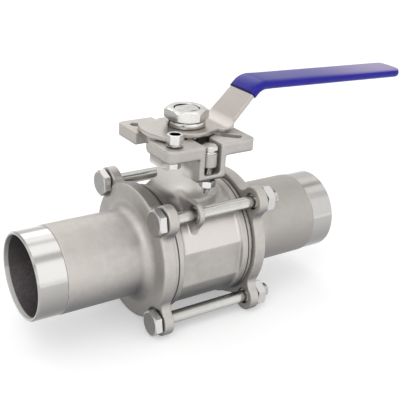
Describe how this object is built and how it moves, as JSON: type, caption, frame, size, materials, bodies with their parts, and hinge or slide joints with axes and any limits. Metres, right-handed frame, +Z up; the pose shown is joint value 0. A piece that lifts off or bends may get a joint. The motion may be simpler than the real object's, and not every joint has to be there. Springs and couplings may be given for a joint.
{
  "type": "three-piece ball valve",
  "caption": "Three-piece full-bore ball valve with long weld ends, bolted end caps, a square actuator pad on a yoke neck, and a cranked quarter-turn lever with a moulded grip.",
  "frame": {"origin": "centre of the ball, where the flow axis and the stem axis cross", "axes": "+X along the flow axis, the way the lever points when the valve is open; +Z up the stem axis; -Y is the side the stop screw is on"},
  "size_m": [0.318, 0.0966, 0.1633],
  "materials": {
    "cast_steel": "bead-blasted casting, turned weld bands",
    "polished_steel": "polished",
    "fasteners": "bright",
    "lever_plate": "rolled and brushed",
    "grip": "glossy dipped vinyl",
    "seal": "smooth",
    "seal_ring": "smooth"
  },
  "bodies": {
    "valve_body": {"body": "cast_steel", "left_cap": "cast_steel", "right_cap": "cast_steel", "left_gasket": "seal", "right_gasket": "seal", "left_seat": "seal", "right_seat": "seal", "thrust_washer": "seal", "packing_rings": "seal", "gland": "cast_steel", "gland_bolts": "fasteners", "gland_washers": "fasteners", "gland_nuts": "fasteners", "stop_screw": "fasteners", "stop_nut": "fasteners", "body_bolts": "fasteners", "body_nuts": "fasteners"},
    "lever_and_stem": {"stem": "polished_steel", "stem_o_ring": "seal_ring", "lever": "lever_plate", "lever_grip": "grip", "spring_washer": "fasteners", "stem_nut": "fasteners"},
    "ball": {"ball": "polished_steel"}
  },
  "joints": [
    {"name": "lever_turn", "type": "hinge", "parent": "valve_body", "child": "lever_and_stem", "pos_m": [0, 0, 0], "axis": [0, 0, 1], "range_deg": [-90, 0]},
    {"name": "ball_turn", "type": "hinge", "parent": "valve_body", "child": "ball", "pos_m": [0, 0, 0], "axis": [0, 0, 1], "range_deg": [-90, 0]}
  ],
  "couplings": [
    {"joint": "ball_turn", "follows": "lever_turn", "ratio": 1}
  ]
}
